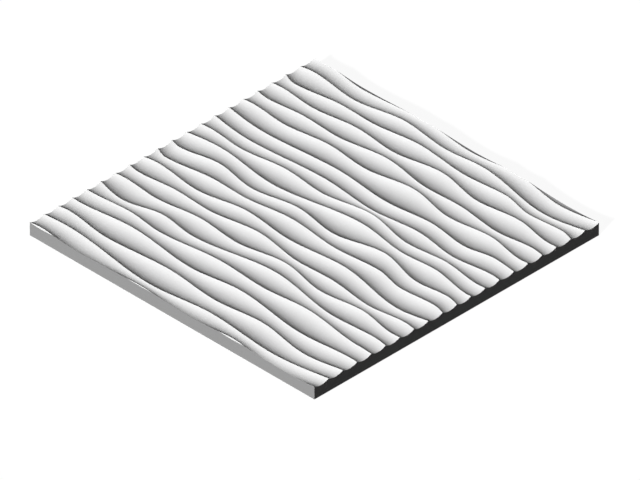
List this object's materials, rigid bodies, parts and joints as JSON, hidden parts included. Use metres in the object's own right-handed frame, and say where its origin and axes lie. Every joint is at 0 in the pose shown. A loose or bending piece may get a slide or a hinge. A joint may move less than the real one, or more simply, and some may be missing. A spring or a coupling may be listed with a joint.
{
  "type": "wavy wall tile",
  "caption": "Square cast plaster wall tile with a flat back and a face of winding hollow grooves between sharp ridges; bonds to a wall and repeats edge to edge.",
  "frame": {"origin": "middle of the flat back, which lies on the floor or against the wall", "axes": "+X along the ridges, +Y across them, +Z out of the wavy face"},
  "size_m": [0.5, 0.5, 0.02],
  "materials": {
    "plaster": "matte white cast gypsum plaster, unpainted, with a fine closed grain"
  },
  "bodies": {
    "root": {"wavy_tile": "plaster"}
  },
  "joints": []
}
